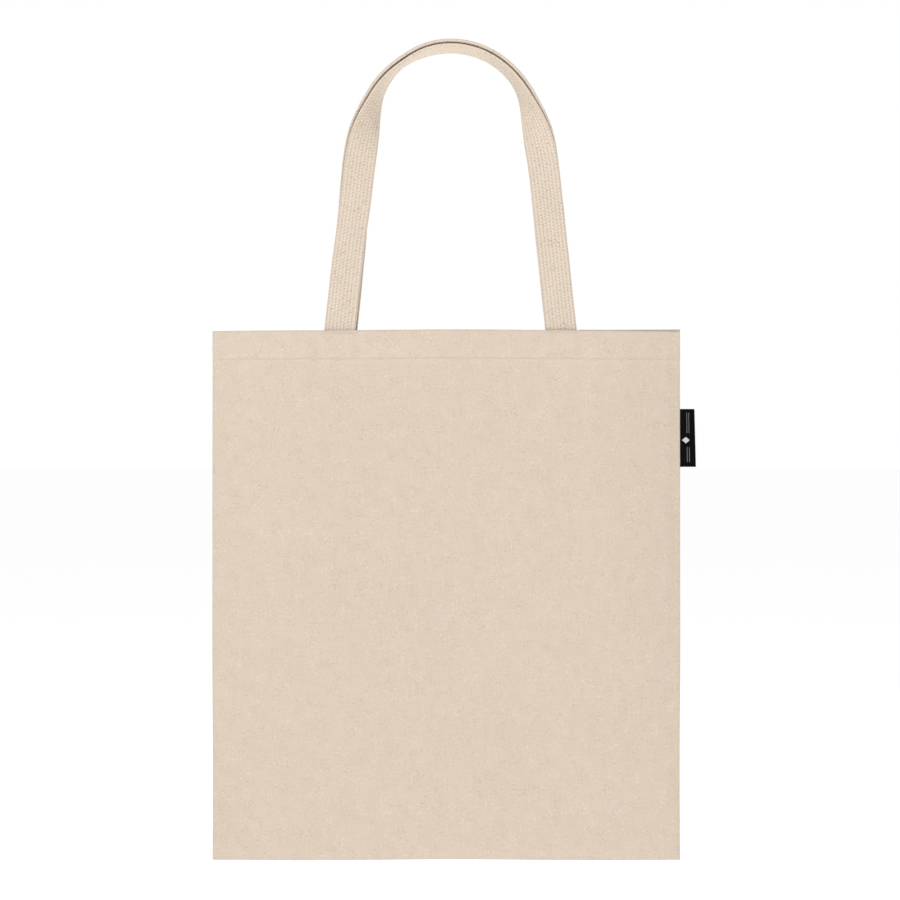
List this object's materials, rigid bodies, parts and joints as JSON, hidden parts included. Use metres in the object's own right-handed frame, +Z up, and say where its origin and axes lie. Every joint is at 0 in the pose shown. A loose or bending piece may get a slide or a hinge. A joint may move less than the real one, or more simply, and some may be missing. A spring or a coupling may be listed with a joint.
{
  "type": "tote bag",
  "caption": "Flat unlined cotton canvas tote bag with a hemmed open mouth, two webbing shoulder handles and a folded side label.",
  "frame": {"origin": "underside of the front handle's crown, where a hand or a hook carries the bag", "axes": "+Z up, towards the handles; the front of the bag faces -Y; +X towards the labelled side seam"},
  "size_m": [0.3998, 0.0261, 0.6753],
  "materials": {
    "canvas": "natural unbleached plain-weave cotton canvas",
    "webbing": "natural cotton webbing, coarse woven ribs",
    "thread": "natural polyester-cotton sewing thread",
    "label": "black woven satin ribbon"
  },
  "bodies": {
    "bag": {"front_panel": "canvas", "back_panel": "canvas", "front_hem": "canvas", "back_hem": "canvas", "left_seam_allowance": "canvas", "right_seam_allowance": "canvas", "bottom_seam_allowance": "canvas", "left_overlock": "thread", "right_overlock": "thread", "bottom_overlock": "thread", "left_seam_stitching": "thread", "right_seam_stitching": "thread", "bottom_seam_stitching": "thread", "front_hem_stitching": "thread", "back_hem_stitching": "thread", "front_handle_stitching": "thread", "rear_handle_stitching": "thread", "front_handle_ends": "webbing", "rear_handle_ends": "webbing", "label_tail": "label"},
    "front_handle": {"front_handle": "webbing"},
    "rear_handle": {"rear_handle": "webbing"},
    "side_label": {"side_label": "label"}
  },
  "joints": [
    {"name": "front_handle_swing", "type": "hinge", "parent": "bag", "child": "front_handle", "pos_m": [0, -0.0096, -0.23121], "axis": [1, 0, 0], "range_deg": [0, 170]},
    {"name": "rear_handle_swing", "type": "hinge", "parent": "bag", "child": "rear_handle", "pos_m": [0, 0.0096, -0.23121], "axis": [-1, 0, 0], "range_deg": [0, 170]},
    {"name": "label_flap", "type": "hinge", "parent": "bag", "child": "side_label", "pos_m": [0.19115, 0.008, -0.31971], "axis": [0, 0, 1], "range_deg": [-90, 90]}
  ]
}
